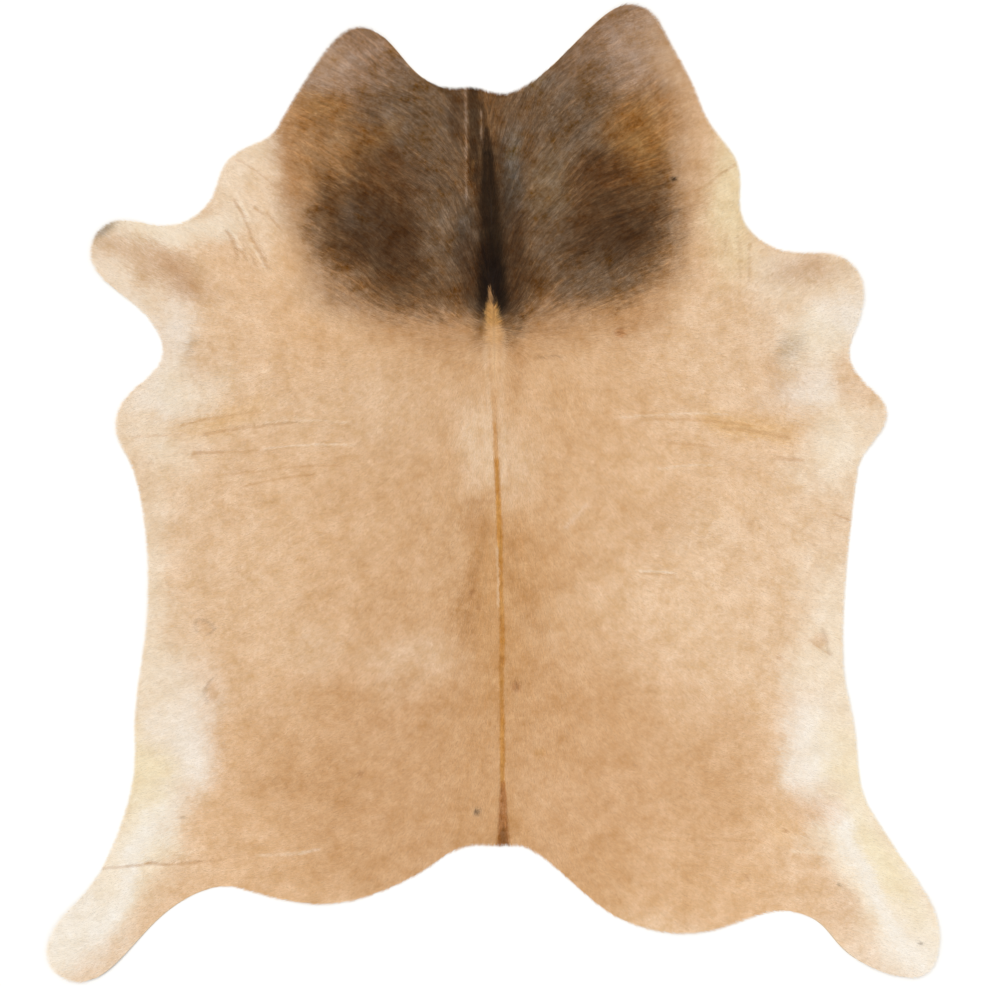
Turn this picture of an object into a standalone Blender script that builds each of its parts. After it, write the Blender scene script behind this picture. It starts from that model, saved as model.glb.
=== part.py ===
"""A hair-on cattle hide laid out flat as a floor rug, in one piece.

The skin was split along the belly and opened out, so the backbone runs down the middle. The two sides of
the neck stand as lobes at +Y, the forelegs and hind legs spread to either side, and the rump closes the -Y
end. It lies on the floor at Z = 0. The sheet is the tanned skin with the depth of its lying coat on top. It
is flat but for the low folds that a rolled hide keeps and the edges that curl a little off the floor.
"""

import math
from collections import namedtuple

import bmesh
import bpy
import numpy as np
from mathutils import Vector
from mathutils.geometry import delaunay_2d_cdt

# Driving dimensions, in metres
MM = 0.001
SKIN_THICKNESS = 2.2 * MM
COAT_DEPTH = 1.8 * MM
RIM_STEP = 25 * MM
FIELD_STEP = 70 * MM
CREASE_STEP = 32 * MM
CLEAR_OF_ROWS = 0.45 * FIELD_STEP

# The cut edge, in millimetres from the middle of the hide, +Y toward the neck, clockwise from the neck
# notch. Each body part has its own row of (x, y) points, at its tips, hollows and the turns between them.
EDGE_POINTS = {
    "neck notch": ((25, 896),),
    "right neck lobe": ((122, 955), (241, 1070), (302, 1099), (356, 1077), (394, 1016), (443, 926)),
    "right shoulder": ((482, 836), (531, 771), (552, 721), (554, 636), (583, 582), (639, 548)),
    "right foreleg": ((702, 539), (776, 532), (821, 492), (832, 440), (814, 370), (799, 316)),
    "right elbow": ((821, 262), (871, 210), (880, 163), (835, 93), (814, 30)),
    "right flank": ((785, -375), (806, -501), (819, -611)),
    "right hind leg": ((839, -694), (956, -876), (997, -960), (999, -1027), (961, -1086)),
    "right rump": (
        (803, -1041),
        (740, -975),
        (675, -943),
        (594, -948),
        (500, -980),
        (414, -989),
        (320, -971),
    ),
    "rear notch": ((227, -919), (76, -795), (22, -791), (-58, -792)),
    "left rump": ((-146, -842), (-266, -901), (-385, -924), (-502, -906), (-592, -885), (-682, -910)),
    "left hind leg": (
        (-763, -971),
        (-842, -1055),
        (-911, -1097),
        (-979, -1079),
        (-1001, -1023),
        (-956, -939),
        (-889, -861),
    ),
    "left flank": ((-808, -647), (-803, -498), (-774, -251), (-794, 8)),
    "left elbow": ((-821, 84), (-846, 150), (-814, 228), (-758, 278), (-740, 327)),
    "left foreleg": ((-781, 402), (-866, 471), (-902, 530), (-891, 579), (-842, 613), (-760, 604)),
    "left shoulder": ((-688, 611), (-630, 665), (-592, 750), (-506, 798), (-468, 847)),
    "left neck lobe": ((-351, 1020), (-292, 1046), (-236, 1020), (-178, 955), (-101, 910), (-38, 909)),
}

# A soft ridge along an arc from one end to the other, in millimetres. Bow is how far the arc's middle
# stands to the left of the straight line, seen from the first end. Rows is how many lines of points it has.
Crease = namedtuple("Crease", "name x0 y0 x1 y1 bow half_width height rows")
CREASES = (
    Crease("backbone", -8, 800, 22, -730, 5, 44, 2.6, 5),
    Crease("left rump fold", -850, -836, -330, -806, -12, 20, 2.4, 3),
    Crease("right rump fold", 160, -806, 760, -812, -14, 24, 1.8, 3),
    Crease("left belly, front", -690, 150, -300, 166, 12, 22, 2.0, 3),
    Crease("left belly, middle", -660, 96, -290, 108, 8, 20, 1.8, 3),
    Crease("left belly, back", -560, 18, -330, 34, 6, 20, 1.4, 3),
    Crease("right belly, front", 270, 168, 700, 128, 14, 22, 2.0, 3),
    Crease("right belly, back", 340, 108, 720, 74, 8, 20, 1.6, 3),
    Crease("left neck, outer", -600, 712, -520, 500, 10, 18, 1.8, 3),
    Crease("left neck, inner", -545, 700, -440, 520, 8, 18, 1.6, 3),
    Crease("right neck", 440, 520, 545, 690, 8, 18, 1.6, 3),
)

# A place near the edge where the hide stands a little off the floor, in millimetres.
Curl = namedtuple("Curl", "name x y radius height")
CURLS = (
    Curl("left foreleg", -890, 560, 190, 5.0),
    Curl("right foreleg", 830, 480, 200, 4.5),
    Curl("left hind leg", -960, -1050, 240, 6.0),
    Curl("right hind leg", 980, -1040, 240, 5.5),
    Curl("left neck lobe", -300, 1040, 190, 4.0),
    Curl("right neck lobe", 310, 1090, 190, 4.5),
    Curl("left elbow", -850, 150, 130, 3.0),
    Curl("right elbow", 885, 170, 130, 3.5),
    Curl("left flank", -790, -230, 200, 3.0),
    Curl("right flank", 800, -430, 200, 3.0),
    Curl("left rump", -400, -930, 150, 2.5),
    Curl("right rump", 430, -995, 170, 3.0),
)


def clear_scene():
    for old in list(bpy.data.objects):
        bpy.data.objects.remove(old, do_unlink=True)


def closed_curve(points):
    """A dense polyline on the closed cubic through the points, whose slope and curvature are continuous.

    Each span's share of the parameter is the square root of its chord, which keeps tight turns round.
    """
    p = np.array(points, float)
    following = np.roll(p, -1, axis=0)
    span = np.sqrt(np.linalg.norm(following - p, axis=1))
    before = np.roll(span, 1)
    count = len(p)
    index = np.arange(count)
    matrix = np.zeros((count, count))
    matrix[index, index - 1] = before
    matrix[index, index] = 2 * (before + span)
    matrix[index, (index + 1) % count] = span
    slope = (following - p) / span[:, None]
    bend = np.linalg.solve(matrix, 6 * (slope - np.roll(slope, 1, axis=0)))
    share = np.linspace(0, 1, 40, endpoint=False)[:, None, None]
    left, right = 1 - share, share
    square = span[:, None] ** 2 / 6
    curve = left * p + right * following
    curve = curve + square * (left**3 - left) * bend
    curve = curve + square * (right**3 - right) * np.roll(bend, -1, axis=0)
    return curve.transpose(1, 0, 2).reshape(-1, 2)


def even_points(curve, step):
    """Points about step apart round a closed polyline."""
    loop = np.concatenate([curve, curve[:1]])
    along = np.concatenate([[0], np.cumsum(np.linalg.norm(np.diff(loop, axis=0), axis=1))])
    places = np.linspace(0, along[-1], round(along[-1] / step), endpoint=False)
    return np.stack([np.interp(places, along, loop[:, axis]) for axis in (0, 1)], axis=1)


def hide_edge():
    """The cut edge in metres, centred on its own bounding box."""
    points = [point for row in EDGE_POINTS.values() for point in row]
    edge = closed_curve(points) * MM
    edge = edge - (edge.min(axis=0) + edge.max(axis=0)) / 2
    return even_points(edge, RIM_STEP)


def crease_frame(crease):
    """The first end, the unit direction, the unit normal to its left and the length, in metres."""
    start = np.array((crease.x0, crease.y0)) * MM
    chord = np.array((crease.x1, crease.y1)) * MM - start
    length = np.linalg.norm(chord)
    direction = chord / length
    return start, direction, np.array((-direction[1], direction[0])), length


def crease_height(crease, xy):
    """How far a ridge lifts each point: a raised cosine across it, fading out toward both ends."""
    start, direction, normal, length = crease_frame(crease)
    along = np.clip((xy - start) @ direction / length, 0, 1)
    arc = crease.bow * MM * 4 * along * (1 - along)
    across = np.clip(((xy - start) @ normal - arc) / (crease.half_width * MM), -1, 1)
    fade = 1 - np.abs(2 * along - 1) ** 4
    return crease.height * MM * fade * (1 + np.cos(math.pi * across)) / 2


def curl_height(curl, xy):
    """How far a curled place lifts each point: a smooth dome that meets the floor level."""
    reach = np.linalg.norm(xy - np.array((curl.x, curl.y)) * MM, axis=1) / (curl.radius * MM)
    return curl.height * MM * np.clip(1 - reach**2, 0, 1) ** 2


def underside_height(xy):
    """The flesh side above the floor, zero wherever no fold or curl lifts it."""
    folds = sum(crease_height(crease, xy) for crease in CREASES)
    return folds + sum(curl_height(curl, xy) for curl in CURLS)


def crease_points():
    """Lines of points along each ridge, from one foot over the crest to the other."""
    found = []
    for crease in CREASES:
        start, direction, normal, length = crease_frame(crease)
        count = max(3, round(length / CREASE_STEP))
        for offset in np.linspace(-1, 1, crease.rows) * crease.half_width * MM:
            along = np.linspace(0, 1, count)[:, None]
            arc = crease.bow * MM * 4 * along * (1 - along)
            found.append(start + along * length * direction + (arc + offset) * normal)
    return np.concatenate(found)


def field_points(edge):
    """A staggered grid over the whole hide."""
    low, high = edge.min(axis=0), edge.max(axis=0)
    rise = FIELD_STEP * math.sqrt(3) / 2
    rows = np.arange(low[1], high[1], rise)
    columns = np.arange(low[0], high[0], FIELD_STEP)
    x, y = np.meshgrid(columns, rows)
    x = x + (np.arange(len(rows)) % 2)[:, None] * FIELD_STEP / 2
    return np.stack([x.ravel(), y.ravel()], axis=1)


def inside(edge, xy):
    """Which points lie within the closed edge, by counting the crossings of a line toward +X."""
    ahead = np.roll(edge, -1, axis=0)
    x, y = xy[:, :1], xy[:, 1:]
    spans = (edge[:, 1] > y) != (ahead[:, 1] > y)
    rise = np.where(spans, ahead[:, 1] - edge[:, 1], 1)
    crossing = edge[:, 0] + (y - edge[:, 1]) / rise * (ahead[:, 0] - edge[:, 0])
    return (spans & (x < crossing)).sum(axis=1) % 2 == 1


def clear_of(points, others, gap):
    """The points that keep at least the gap to all the others."""
    apart = np.linalg.norm(points[:, None] - others[None], axis=2).min(axis=1)
    return points[apart >= gap]


def sheet_mesh():
    """The open underside: the edge and the points within it joined as triangles, each at its height."""
    edge = hide_edge()
    ridges = crease_points()
    ridges = clear_of(ridges[inside(edge, ridges)], edge, RIM_STEP / 2)
    field = field_points(edge)
    field = clear_of(field[inside(edge, field)], np.concatenate([edge, ridges]), CLEAR_OF_ROWS)
    points = np.concatenate([edge, ridges, field])
    outline = [list(range(len(edge)))]
    flat, _, faces, _, _, _ = delaunay_2d_cdt([Vector(point) for point in points], [], outline, 1, MM / 10)
    heights = underside_height(np.array(flat))
    shape = bmesh.new()
    corners = [shape.verts.new((*point, height)) for point, height in zip(flat, heights)]
    for face in faces:
        shape.faces.new([corners[index] for index in face])
    bmesh.ops.recalc_face_normals(shape, faces=shape.faces)
    if sum(face.normal.z for face in shape.faces) < 0:
        bmesh.ops.reverse_faces(shape, faces=shape.faces)
    mesh = bpy.data.meshes.new("hide")
    shape.to_mesh(mesh)
    shape.free()
    mesh.shade_smooth()
    return mesh


def linear(channel):
    """One sRGB channel, 0 to 255, as the linear value that a material takes."""
    value = channel / 255
    return value / 12.92 if value <= 0.04045 else ((value + 0.055) / 1.055) ** 2.4


def hide_material():
    """Tan cattle hair, matt."""
    material = bpy.data.materials.new("tan hair-on hide")
    material.use_nodes = True
    shader = material.node_tree.nodes["Principled BSDF"]
    tan = (217, 176, 133)
    shader.inputs["Base Color"].default_value = (*(linear(channel) for channel in tan), 1)
    shader.inputs["Roughness"].default_value = 0.8
    shader.inputs["Metallic"].default_value = 0
    return material


def build_hide(collection):
    """The one solid: the underside with the skin's and the coat's thickness raised on it."""
    hide = bpy.data.objects.new("hide", sheet_mesh())
    collection.objects.link(hide)
    hide.data.materials.append(hide_material())
    thickness = hide.modifiers.new("skin and coat", "SOLIDIFY")
    thickness.thickness = SKIN_THICKNESS + COAT_DEPTH
    thickness.offset = 1
    return hide


def main():
    clear_scene()
    collection = bpy.data.collections.new("cattle hide rug")
    bpy.context.scene.collection.children.link(collection)
    build_hide(collection)


main()
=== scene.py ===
# %% [markdown]
# # A cattle hide laid out as a rug
#
# The real object is one whole cattle skin, tanned with its hair on, cut open along the belly and laid flat.
# It has four surfaces to the eye: short lying hair on top, the skin under that hair, the raw cut edge, and
# the suede flesh side below. So it is made in that order: first the skin, then its coat of hair in small
# locks. Sizes are in millimetres wherever they describe the hide, because a maker measures it so. They
# become metres only where they go into a mesh. X runs across the hide, Y along the backbone towards the
# neck, Z up.

# %% Load the fixed frame
import math
from collections import namedtuple

import bpy
import numpy as np
from mathutils.geometry import delaunay_2d_cdt
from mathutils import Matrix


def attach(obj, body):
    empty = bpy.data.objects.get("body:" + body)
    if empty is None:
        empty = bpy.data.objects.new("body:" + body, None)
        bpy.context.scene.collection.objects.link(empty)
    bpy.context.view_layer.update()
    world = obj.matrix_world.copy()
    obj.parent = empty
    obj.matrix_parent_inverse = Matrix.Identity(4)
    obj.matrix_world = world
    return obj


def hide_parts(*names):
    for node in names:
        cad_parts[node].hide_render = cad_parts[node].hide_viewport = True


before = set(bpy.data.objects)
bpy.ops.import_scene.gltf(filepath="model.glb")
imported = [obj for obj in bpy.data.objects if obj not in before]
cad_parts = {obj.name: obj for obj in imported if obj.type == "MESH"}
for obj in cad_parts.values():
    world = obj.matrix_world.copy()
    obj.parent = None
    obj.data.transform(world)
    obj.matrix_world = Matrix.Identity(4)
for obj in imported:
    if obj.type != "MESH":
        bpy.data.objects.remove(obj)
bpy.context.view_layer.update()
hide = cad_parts["hide"]
MM = 0.001

# %% [markdown]
# ## The camera
#
# The photograph looks straight down on the hide from a good height, with the neck at the top. A camera that
# stands over the middle of the hide with a long lens gives the same view. Its height follows from the lens:
# the picture's width on the floor is the sensor's width times height over focal length.

# %% Camera straight above
PICTURE_WIDTH = 2.2185
FOCAL_LENGTH, SENSOR_WIDTH = 85.0, 36.0
lens = bpy.data.cameras.new("camera above the hide")
lens.lens, lens.sensor_width = FOCAL_LENGTH, SENSOR_WIDTH
camera = bpy.data.objects.new("camera above the hide", lens)
camera.location = (0.0, 0.0, PICTURE_WIDTH * FOCAL_LENGTH / SENSOR_WIDTH)
bpy.context.scene.collection.objects.link(camera)
bpy.context.scene.camera = camera
print("camera height:", round(camera.location.z, 3), "m")

# %% [markdown]
# ## The edge of the hide
#
# The knife cut gives the hide its outline of neck, legs, elbows and flanks. The solid in the frame already
# has that outline as corners 25 mm apart, so it is read from there and not drawn twice. The border between
# the solid's wall and its underside is a ring of edges. Blender turns such a ring into a curve with its
# points in order, and a sum of waves through those points, which is what a Fourier transform is, makes it
# smooth.

# %% Ordered corners of the cut edge
HUNDREDTH = 0.01  # of a millimetre


def edge_ring(node):
    """Ordered corners, in mm, of the ring of edges that wall and underside triangles share.

    Corners on the same hundredth of a millimetre are one. A triangle belongs to the wall if its normal is
    less than 30 degrees out of level, and to the underside if its normal points further down than that.
    """
    mesh = node.data
    points = np.empty(len(mesh.vertices) * 3)
    mesh.vertices.foreach_get("co", points)
    corners = np.empty(len(mesh.loops), int)
    mesh.loops.foreach_get("vertex_index", corners)
    places, same = np.unique(np.round(points.reshape(-1, 3) / (HUNDREDTH * MM)), axis=0, return_inverse=True)
    triangles = same.ravel()[corners.reshape(-1, 3)]
    a, b, c = (places[triangles[:, k]] for k in range(3))
    normal = np.cross(b - a, c - a)
    half_size = np.linalg.norm(normal, axis=1) / 2
    wall, underside = np.abs(normal[:, 2]) < half_size, normal[:, 2] < -half_size
    pairs = np.sort(triangles[:, [[0, 1], [1, 2], [2, 0]]], axis=2)
    keys = pairs[..., 0] * len(places) + pairs[..., 1]
    shared = np.intersect1d(keys[wall], keys[underside])
    ring = bpy.data.meshes.new("ring")
    edges = np.stack([shared // len(places), shared % len(places)], 1)
    ring.from_pydata(places.tolist(), edges.tolist(), [])
    ring_object = bpy.data.objects.new("ring", ring)
    bpy.context.scene.collection.objects.link(ring_object)
    bpy.ops.object.select_all(action="DESELECT")
    ring_object.select_set(True)
    bpy.context.view_layer.objects.active = ring_object
    bpy.ops.object.convert(target="CURVE")
    spline = ring_object.data.splines[0]
    ordered = np.empty(len(spline.points) * 4)
    spline.points.foreach_get("co", ordered)
    bpy.data.objects.remove(ring_object)
    return ordered.reshape(-1, 4)[:, :2] * HUNDREDTH


edge_corners = edge_ring(hide)
print("corners in the cut edge:", len(edge_corners))


# %% Smooth edge from the corners
def smooth_loop(corners, times):
    """Closed loop with `times` as many points: the corners' Fourier sum, with zeros for added short waves.

    Also gives each point's inward direction, the sum's derivative turned a right angle. Points are complex.
    """
    plane = corners[:, 0] + 1j * corners[:, 1]
    if np.sum(np.imag(np.conj(plane) * np.roll(plane, -1))) < 0:
        plane = plane[::-1]
    waves = np.fft.fft(plane)
    count, half = len(plane), (len(plane) + 1) // 2
    padded = np.zeros(count * times, complex)
    padded[:half] = waves[:half]
    padded[half - count:] = waves[half:]
    loop = np.fft.ifft(padded) * times
    slope = np.fft.ifft(padded * 1j * np.fft.fftfreq(count * times, 1 / (count * times)))
    return loop, 1j * slope / np.abs(slope)


POINTS_A_CORNER = 5
edge_loop, edge_inward = smooth_loop(edge_corners, POINTS_A_CORNER)

# %% [markdown]
# ## Room to the edge
#
# Both the skin's net of points and the roots of the hair have to know how far they are from the cut edge.
# It is worked out once on a coarse square net: the distance to the nearest edge point, counted along that
# point's inward direction close by, so it is exact at the edge and negative outside. Any other place reads
# the net.

# %% Net of distances to the edge
NET_STEP = 8.0
NET_HALF_WIDTH, NET_HALF_LENGTH = 133 * NET_STEP, 145 * NET_STEP
CLOSE_BY = 40.0
net_x = np.arange(-NET_HALF_WIDTH, NET_HALF_WIDTH + 1, NET_STEP)
net_y = np.arange(-NET_HALF_LENGTH, NET_HALF_LENGTH + 1, NET_STEP)


def row_of_room(y):
    """Distances to the edge for one row of the net, in mm, positive inside."""
    offset = (net_x[:, None] + 1j * y) - edge_loop[None, :]
    distance = np.abs(offset)
    nearest = distance.argmin(1)
    line = np.arange(len(net_x))
    near_offset, away = offset[line, nearest], distance[line, nearest]
    inward = np.real(near_offset * np.conj(edge_inward[nearest]))
    return np.where(away < CLOSE_BY, inward, np.sign(inward) * away)


room_net = np.stack([row_of_room(y) for y in net_y])


def edge_room(x, y):
    """Distance to the cut edge at any places, read from the net between its four nearest points."""
    u, v = (x - net_x[0]) / NET_STEP, (y - net_y[0]) / NET_STEP
    column = np.clip(np.floor(u).astype(int), 0, len(net_x) - 2)
    row = np.clip(np.floor(v).astype(int), 0, len(net_y) - 2)
    u, v = u - column, v - row
    low = room_net[row, column] * (1 - u) + room_net[row, column + 1] * u
    high = room_net[row + 1, column] * (1 - u) + room_net[row + 1, column + 1] * u
    return low * (1 - v) + high * v


print("deepest place:", round(float(room_net.max())), "mm from the edge")

# %% [markdown]
# ## The lie of the sheet
#
# A rug-tanned hide lies flat but not dead flat: it was folded along the backbone, the belly skin has
# shallow creases, and its thin leg and neck ends dry into a slight curl. The solid has those same folds, so
# the table is the same. Fine wrinkles that the solid leaves out are added here from the table of lines
# further down.

# %% Folds and curled ends
Crease = namedtuple("Crease", "name x0 y0 x1 y1 bow half_width height")
CREASES = (
    Crease("backbone", -8, 800, 22, -730, 5, 44, 2.6),
    Crease("left rump fold", -850, -836, -330, -806, -12, 20, 2.4),
    Crease("right rump fold", 160, -806, 760, -812, -14, 24, 1.8),
    Crease("left belly, front", -690, 150, -300, 166, 12, 22, 2.0),
    Crease("left belly, middle", -660, 96, -290, 108, 8, 20, 1.8),
    Crease("left belly, back", -560, 18, -330, 34, 6, 20, 1.4),
    Crease("right belly, front", 270, 168, 700, 128, 14, 22, 2.0),
    Crease("right belly, back", 340, 108, 720, 74, 8, 20, 1.6),
    Crease("left neck, outer", -600, 712, -520, 500, 10, 18, 1.8),
    Crease("left neck, inner", -545, 700, -440, 520, 8, 18, 1.6),
    Crease("right neck", 440, 520, 545, 690, 8, 18, 1.6),
)
Curl = namedtuple("Curl", "name x y radius height")
CURLS = (
    Curl("left foreleg", -890, 560, 190, 5.0), Curl("right foreleg", 830, 480, 200, 4.5),
    Curl("left hind leg", -960, -1050, 240, 6.0), Curl("right hind leg", 980, -1040, 240, 5.5),
    Curl("left neck lobe", -300, 1040, 190, 4.0), Curl("right neck lobe", 310, 1090, 190, 4.5),
    Curl("left elbow", -850, 150, 130, 3.0), Curl("right elbow", 885, 170, 130, 3.5),
    Curl("left flank", -790, -230, 200, 3.0), Curl("right flank", 800, -430, 200, 3.0),
    Curl("left rump", -400, -930, 150, 2.5), Curl("right rump", 430, -995, 170, 3.0),
)


def fold_height(x, y):
    """Height of the underside in mm.

    Each crease is a cosine ridge across its line that fades at both ends, and each curl is a low dome.
    """
    height = np.zeros_like(x)
    for crease in CREASES:
        run_x, run_y = crease.x1 - crease.x0, crease.y1 - crease.y0
        length = math.hypot(run_x, run_y)
        dx, dy = x - crease.x0, y - crease.y0
        along = np.clip((dx * run_x + dy * run_y) / length ** 2, 0, 1)
        arc = crease.bow * 4 * along * (1 - along)
        across = np.clip(((dy * run_x - dx * run_y) / length - arc) / crease.half_width, -1, 1)
        height += crease.height * (1 - np.abs(2 * along - 1) ** 4) * (1 + np.cos(math.pi * across)) / 2
    for curl in CURLS:
        away = np.hypot(x - curl.x, y - curl.y) / curl.radius
        height += curl.height * np.clip(1 - away ** 2, 0, 1) ** 2
    return height


print("folds:", len(CREASES), "and curled places:", len(CURLS))

# %% [markdown]
# ## Colours of the coat
#
# A coat has few pigments, and the hairs mix them. Each pigment is named here once, as sRGB hex the way the
# eye sees it, and one function turns it into the linear numbers that light is counted in.

# %% Pigments
def linear(text):
    """Six hex digits of sRGB as linear red, green and blue: each channel is undone by the sRGB curve."""
    shown = np.array([int(text[k:k + 2], 16) / 255 for k in (0, 2, 4)])
    return np.where(shown <= 0.04045, shown / 12.92, ((shown + 0.055) / 1.055) ** 2.4)


PIGMENTS = {name: linear(text) for name, text in {
    "tan": "D3A87E", "sand": "DCB38A", "light sand": "E3C4A4", "honey": "C69462", "rump": "CFA176",
    "peach": "D9AF87", "cream": "EDDCC7", "white": "EEE3D9", "butter": "EAD7B2", "gold": "E0B47E",
    "orange": "C08A4E", "amber": "BE8340", "ginger": "A1754C", "rust": "A0673A", "bark": "B98656",
    "grey": "BFAA92", "taupe": "98755A", "fawn": "B9977C", "mouse": "7F6449", "drab": "70563F",
    "saddle": "6D4B2D", "umber": "4E341F", "chestnut": "5C3B20", "ochre": "976838", "olive": "432E1C",
    "slate": "5A4B3D", "black": "150C06",
}.items()}
print("pigments:", len(PIGMENTS))

# %% [markdown]
# ## Random fields
#
# Nothing on a hide has a ruled border. One soft random field, made from random numbers on a square net,
# gives all of its unevenness. Clouds are three such fields of falling size. Streaks are one fine field
# averaged along the hair, which smears it into lines the way lying hair does.

# %% Noise, clouds and the way of the hair
def smooth(start, end, value):
    """S-curve: 0 at start and 1 at end, level at both; start may be the larger one."""
    t = np.clip((value - start) / (end - start), 0.0, 1.0)
    return t * t * (3.0 - 2.0 * t)


NOISE_CELLS = 128


def noise(x, y, cell, seed):
    """Field from -1 to 1: random numbers on a net of that cell size in mm, joined by S-curves."""
    net = np.random.default_rng(seed).uniform(-1.0, 1.0, (NOISE_CELLS, NOISE_CELLS))
    column, row = np.floor(x / cell).astype(int), np.floor(y / cell).astype(int)
    u, v = smooth(0, 1, x / cell - column), smooth(0, 1, y / cell - row)
    left, right = column % NOISE_CELLS, (column + 1) % NOISE_CELLS
    low, high = row % NOISE_CELLS, (row + 1) % NOISE_CELLS
    return ((net[low, left] * (1 - u) + net[low, right] * u) * (1 - v)
            + (net[high, left] * (1 - u) + net[high, right] * u) * v)


def clouds(x, y, cell, seed):
    """Three noises added, each half as coarse and 0.6 as strong as the one before."""
    return sum(noise(x, y, cell / 2 ** k, seed + k) * 0.6 ** k for k in range(3))


def hair_way(x, y):
    """Unit direction in which the hair points, the same on both sides of the backbone but mirrored.

    Its angle is counted from straight tailward to outward. It grows from 0 on the backbone to the sides as
    75 degrees times 1 - exp(-side / 250), and in front of the withers it turns past outward to headward. The
    backbone itself drifts to the right by 22 mm for each metre towards the tail.
    """
    side = x - (10 - 0.022 * y)
    body = 75 * (1 - np.exp(-np.abs(side) / 250))
    neck = 180 - 65 * (1 - np.exp(-np.abs(side) / 120))
    angle = np.radians(body + (neck - body) * smooth(230, 470, y) + 14 * noise(x, y, 90, 11))
    return np.where(side < 0, -1.0, 1.0) * np.sin(angle), -np.cos(angle)


def streaks(x, y, cell, reach, seed):
    """Noise summed over nine places along the hair, so it runs in streaks about as long as reach.

    The sum is divided by the root of nine, which gives it back the spread of one noise.
    """
    way_x, way_y = hair_way(x, y)
    steps = np.linspace(-reach / 2, reach / 2, 9)
    total = sum(noise(x + way_x * step, y + way_y * step, cell, seed) for step in steps)
    return total / math.sqrt(len(steps))


sway = hair_way(np.array([0.0, 400.0, -400.0]), np.array([0.0, 0.0, 0.0]))
print("way of the hair on the backbone and on both sides:", np.round(sway, 2).tolist())

# %% [markdown]
# ## Where each colour lies
#
# The coat could be one picture, but a hide is easier to understand, and to change, as patches: soft ovals of
# one pigment, laid over each other from the ground colour to the smallest mark. A row gives the pigment, the
# middle and the two radii in mm, a turn in degrees, how soft its border is as a share of the radii, and how
# much of it shows. A squarer border than an oval's has a higher last number.

# %% Patches of the ground colour
Patch = namedtuple("Patch", "name pigment x y rx ry turn soft amount square", defaults=(2.0,))
GROUND = (
    Patch("back, behind saddle", "tan", 0, 150, 300, 300, 0, 0.6, 0.6),
    Patch("left barrel, light", "light sand", -620, -160, 220, 300, 0, 0.8, 0.35),
    Patch("right barrel, light", "light sand", 600, -240, 320, 330, 0, 0.8, 0.6),
    Patch("right chest, light", "light sand", 560, 330, 200, 180, 0, 0.8, 0.5),
    Patch("left chest, light", "light sand", -640, 280, 130, 200, 0, 0.8, 0.5),
    Patch("left shoulder, light", "light sand", -350, 190, 200, 90, 0, 0.8, 0.35),
    Patch("rump", "rump", -10, -630, 480, 290, 0, 0.45, 0.85),
    Patch("left barrel, back", "rump", -230, -300, 170, 150, 0, 0.9, 0.35),
    Patch("honey beside backbone", "honey", 5, -260, 70, 300, 0, 0.7, 0.8),
)

# %% Pale patches of neck, forelegs and belly
PALE_FRONT = (
    Patch("left neck, pale", "cream", -540, 700, 110, 130, 0, 0.6, 0.65),
    Patch("left neck, streak", "light sand", -528, 600, 52, 145, 20, 0.6, 0.5),
    Patch("right neck, pale", "butter", 530, 700, 70, 200, 0, 0.6, 0.68),
    Patch("left foreleg", "cream", -820, 520, 190, 110, -20, 0.5, 0.3),
    Patch("left foreleg, low edge", "white", -790, 425, 150, 30, -42, 0.7, 0.3),
    Patch("left foreleg, tip", "grey", -880, 590, 55, 35, 30, 0.7, 0.55),
    Patch("left foreleg smudge", "bark", -700, 494, 85, 38, -38, 0.8, 0.6),
    Patch("left foreleg haze", "bark", -800, 525, 110, 32, -25, 0.8, 0.42),
    Patch("left foreleg, upper edge", "cream", -715, 592, 150, 34, 4, 0.6, 0.75),
    Patch("left armpit", "white", -720, 320, 46, 115, -12, 0.6, 0.45),
    Patch("left foreleg, inner side", "bark", -715, 452, 42, 26, -38, 0.8, 0.28),
    Patch("left belly, cream", "cream", -735, 72, 52, 50, 0, 0.9, 0.45),
    Patch("left elbow", "cream", -795, 160, 140, 95, 10, 0.6, 0.36),
    Patch("left elbow, brightest", "white", -730, 205, 60, 38, 10, 0.7, 0.35),
    Patch("left chest, cream", "cream", -662, 256, 70, 50, 0, 0.8, 0.6),
    Patch("left smudge, grey", "slate", -664, 333, 16, 16, 0, 0.8, 0.2),
    Patch("left smudge, brown", "bark", -645, 285, 40, 40, 0, 0.8, 0.12),
    Patch("left fold, gold", "gold", -612, 168, 88, 24, 8, 0.8, 0.5),
    Patch("right foreleg", "cream", 760, 425, 150, 130, 10, 0.5, 0.36),
    Patch("right foreleg, white", "white", 795, 385, 58, 48, -20, 0.8, 0.65),
    Patch("right neck, base", "cream", 625, 500, 55, 60, 0, 0.7, 0.5),
    Patch("right armpit, upper", "cream", 725, 335, 60, 55, 0, 0.7, 0.7),
    Patch("right foreleg smudge", "bark", 690, 500, 70, 30, 8, 0.8, 0.42),
    Patch("right foreleg, outer", "grey", 830, 530, 50, 40, 0, 0.7, 0.15),
    Patch("right armpit", "white", 720, 230, 80, 45, 0, 0.7, 0.55),
    Patch("right elbow", "cream", 830, 140, 120, 100, -20, 0.6, 0.47),
    Patch("right elbow, tan", "sand", 822, 240, 60, 50, -40, 0.6, 0.5),
    Patch("right flank, front", "cream", 760, 60, 80, 70, 0, 0.8, 0.6),
    Patch("right smudge, grey", "slate", 672, 325, 22, 20, 30, 0.8, 0.22),
    Patch("right smudge, brown", "bark", 650, 290, 45, 50, 0, 0.8, 0.2),
    Patch("right belly, butter", "gold", 580, 177, 90, 25, -8, 0.8, 0.35),
    Patch("right belly, golden wedge", "gold", 562, 164, 84, 18, -10, 0.6, 0.6),
)

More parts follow.
